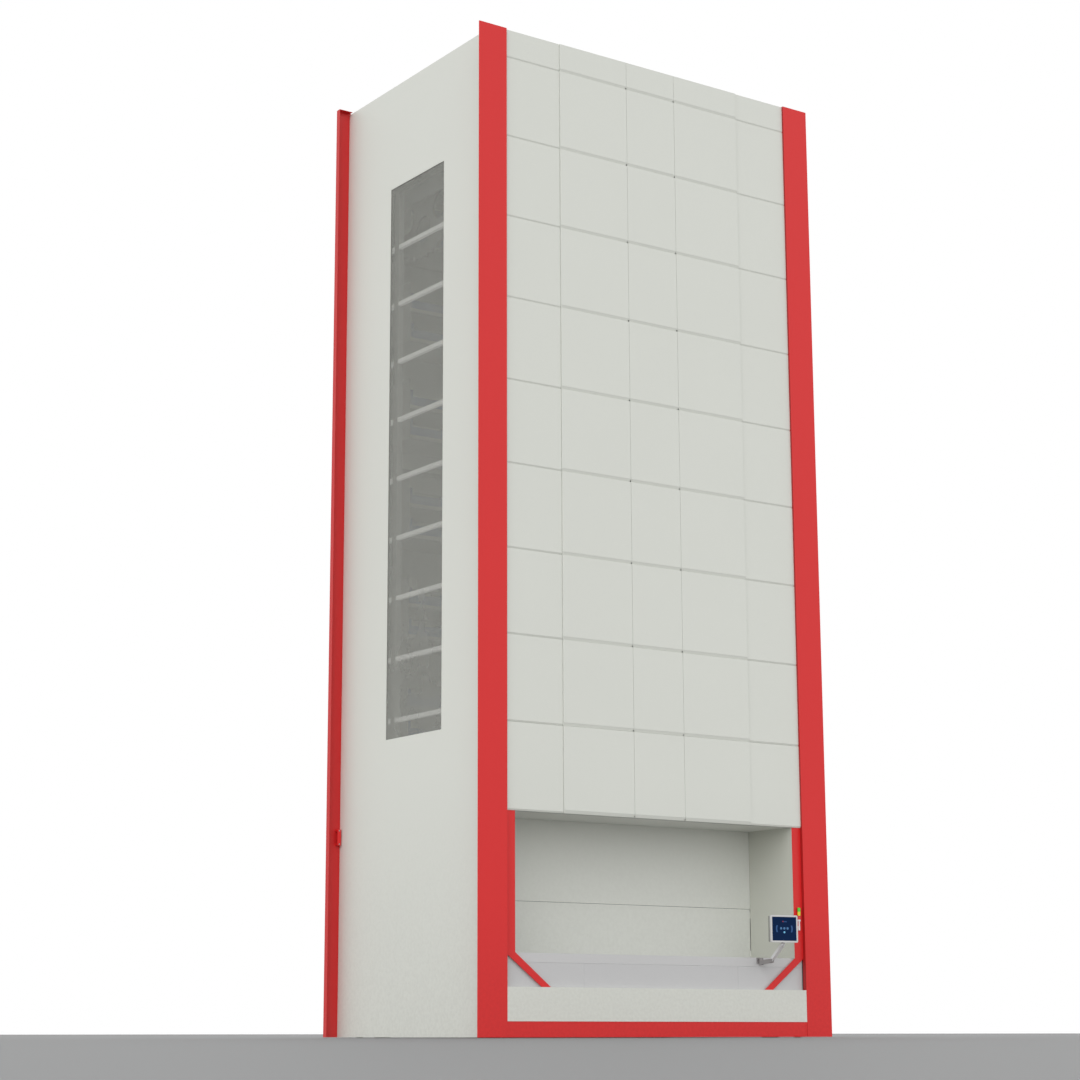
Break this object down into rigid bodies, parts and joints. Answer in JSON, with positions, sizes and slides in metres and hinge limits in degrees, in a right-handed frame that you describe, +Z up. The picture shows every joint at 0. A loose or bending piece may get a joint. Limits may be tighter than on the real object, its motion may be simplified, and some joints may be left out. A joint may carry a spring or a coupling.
{
  "type": "vertical parts carousel",
  "caption": "Tall clad vertical carousel with level carriers of bins on two chain loops, a front work bay with a two-leaf shutter and a swivelling control panel.",
  "frame": {"origin": "on the floor, at the centre of the footprint over the corner posts, which is also the centre of the four anchor holes", "axes": "+Z up, +Y from the front with the bay to the rear, +X to the right seen from the front"},
  "size_m": [4.1, 3.0575, 9.488],
  "materials": {
    "frame_paint": "satin",
    "zinc": "zinc plated",
    "red_paint": "satin powder coat",
    "white_paint": "satin powder coat",
    "window_glass": "grey frosted",
    "rubber": "matt",
    "apron_paint": "satin powder coat",
    "counter_paint": "satin powder coat",
    "cast_iron": "painted",
    "motor_paint": "satin",
    "cabinet_paint": "satin",
    "black_plastic": "matt",
    "arm_paint": "satin",
    "dark_arm_paint": "satin",
    "lamp_plastic": "clear domes",
    "hmi_plastic": "fine grain",
    "screen_glass": "glossy",
    "chain_steel": "oiled",
    "shaft_steel": "ground",
    "carrier_paint": "satin powder coat",
    "bin_plastic": "moulded"
  },
  "bodies": {
    "cabinet": {"base_frame": "frame_paint", "levelling_feet": "zinc", "side_frames": "frame_paint", "cross_beams": "frame_paint", "panel_rails": "frame_paint", "cladding_brackets": "zinc", "front_posts": "red_paint", "rear_posts": "red_paint", "rear_post_handle": "red_paint", "side_panel_left": "white_paint", "side_panel_right": "white_paint", "window_pane": "window_glass", "window_gasket": "rubber", "front_side_panels": "white_paint", "front_wing_panels": "white_paint", "front_centre_panels": "white_paint", "rear_panels": "white_paint", "roof_panels": "white_paint", "sills": "red_paint", "counter_front": "white_paint", "apron_panels": "apron_paint", "counter_top": "counter_paint", "counter_supports": "frame_paint", "bay_frames": "red_paint", "bay_liners": "white_paint", "shutter_rails": "zinc", "guide_channels": "zinc", "shaft_bearings": "cast_iron", "gearmotor": "motor_paint", "control_cabinet": "cabinet_paint", "cable_gland": "black_plastic", "hmi_bracket": "arm_paint", "light_pole": "arm_paint", "signal_lamps": "lamp_plastic", "door_hinges": "zinc", "carousel_chains": "chain_steel", "drive_chain": "chain_steel"},
    "front_run": {"front_carriers": "carrier_paint", "presented_bins": "bin_plastic", "front_bins": "bin_plastic"},
    "rear_run": {"rear_carriers": "carrier_paint", "rear_bins": "bin_plastic"},
    "top_axle": {"top_shaft": "shaft_steel", "top_sprockets": "chain_steel"},
    "bottom_axle": {"bottom_shaft": "shaft_steel", "bottom_sprockets": "chain_steel"},
    "pinion": {"drive_pinion": "chain_steel"},
    "carrier_top_front": {"top_front_carrier": "carrier_paint"},
    "carrier_top_crest": {"top_crest_carrier": "carrier_paint"},
    "carrier_bottom_rear": {"bottom_rear_carrier": "carrier_paint"},
    "carrier_bottom_sump": {"bottom_sump_carrier": "carrier_paint"},
    "upper_leaf": {"shutter_upper_leaf": "white_paint"},
    "lower_leaf": {"shutter_lower_leaf": "white_paint"},
    "rear_door": {"service_door": "white_paint"},
    "rear_door_handle": {"door_handle": "black_plastic"},
    "hmi_arm_lower": {"hmi_lower_arm": "dark_arm_paint"},
    "hmi_arm_upper": {"hmi_upper_arm": "arm_paint"},
    "hmi_head": {"hmi_housing": "hmi_plastic", "hmi_screen": "screen_glass"}
  },
  "joints": [
    {"name": "carousel_travel", "type": "slide", "parent": "cabinet", "child": "front_run", "axis": [0, 0, 1], "range_m": [0, 1.016], "deforming": ["carousel_chains", "drive_chain"]},
    {"name": "rear_run_travel", "type": "slide", "parent": "cabinet", "child": "rear_run", "axis": [0, 0, -1], "range_m": [0, 1.016]},
    {"name": "top_axle_turn", "type": "hinge", "parent": "cabinet", "child": "top_axle", "pos_m": [0, 0.305, 8.317], "axis": [-1, 0, 0], "range_deg": [0, 90]},
    {"name": "bottom_axle_turn", "type": "hinge", "parent": "cabinet", "child": "bottom_axle", "pos_m": [0, 0.305, 1.205], "axis": [-1, 0, 0], "range_deg": [0, 90]},
    {"name": "pinion_turn", "type": "hinge", "parent": "cabinet", "child": "pinion", "pos_m": [1.669, 1.135, 0.245], "axis": [-1, 0, 0], "range_deg": [0, 450]},
    {"name": "top_front_levelling", "type": "hinge", "parent": "top_axle", "child": "carrier_top_front", "pos_m": [0, -0.34247, 8.317], "axis": [-1, 0, 0], "range_deg": [-90, 0]},
    {"name": "top_crest_levelling", "type": "hinge", "parent": "top_axle", "child": "carrier_top_crest", "pos_m": [0, 0.305, 8.96447], "axis": [-1, 0, 0], "range_deg": [-90, 0]},
    {"name": "bottom_rear_levelling", "type": "hinge", "parent": "bottom_axle", "child": "carrier_bottom_rear", "pos_m": [0, 0.95247, 1.205], "axis": [-1, 0, 0], "range_deg": [-90, 0]},
    {"name": "bottom_sump_levelling", "type": "hinge", "parent": "bottom_axle", "child": "carrier_bottom_sump", "pos_m": [0, 0.305, 0.55753], "axis": [-1, 0, 0], "range_deg": [-90, 0]},
    {"name": "shutter_open", "type": "slide", "parent": "cabinet", "child": "upper_leaf", "axis": [0, 0, 1], "range_m": [0, 0.75]},
    {"name": "shutter_lower_open", "type": "slide", "parent": "cabinet", "child": "lower_leaf", "axis": [0, 0, -1], "range_m": [0, 0.49]},
    {"name": "rear_door_swing", "type": "hinge", "parent": "cabinet", "child": "rear_door", "pos_m": [-1.0015, 1.3245, 1], "axis": [0, 0, 1], "range_deg": [0, 110]},
    {"name": "rear_door_handle_turn", "type": "hinge", "parent": "rear_door", "child": "rear_door_handle", "pos_m": [-0.27, 1.33, 1.05], "axis": [0, 1, 0], "range_deg": [0, 90]},
    {"name": "hmi_swivel", "type": "hinge", "parent": "cabinet", "child": "hmi_arm_lower", "pos_m": [1.197, -1.3315, 0.72], "axis": [0, 0, 1], "range_deg": [-60, 60]},
    {"name": "hmi_elbow", "type": "hinge", "parent": "hmi_arm_lower", "child": "hmi_arm_upper", "pos_m": [1.197, -1.4775, 0.71], "axis": [1, 0, 0], "range_deg": [-25, 25]},
    {"name": "hmi_tilt", "type": "hinge", "parent": "hmi_arm_upper", "child": "hmi_head", "pos_m": [1.197, -1.6485, 0.859], "axis": [1, 0, 0], "range_deg": [-20, 25]}
  ],
  "couplings": [
    {"joint": "rear_run_travel", "follows": "carousel_travel", "ratio": 1},
    {"joint": "top_axle_turn", "follows": "carousel_travel", "rad_per_m": 1.5461},
    {"joint": "bottom_axle_turn", "follows": "carousel_travel", "rad_per_m": 1.5461},
    {"joint": "pinion_turn", "follows": "carousel_travel", "rad_per_m": 7.7303},
    {"joint": "top_front_levelling", "follows": "carousel_travel", "rad_per_m": -1.5461},
    {"joint": "top_crest_levelling", "follows": "carousel_travel", "rad_per_m": -1.5461},
    {"joint": "bottom_rear_levelling", "follows": "carousel_travel", "rad_per_m": -1.5461},
    {"joint": "bottom_sump_levelling", "follows": "carousel_travel", "rad_per_m": -1.5461},
    {"joint": "shutter_lower_open", "follows": "shutter_open", "ratio": 0.65333}
  ]
}
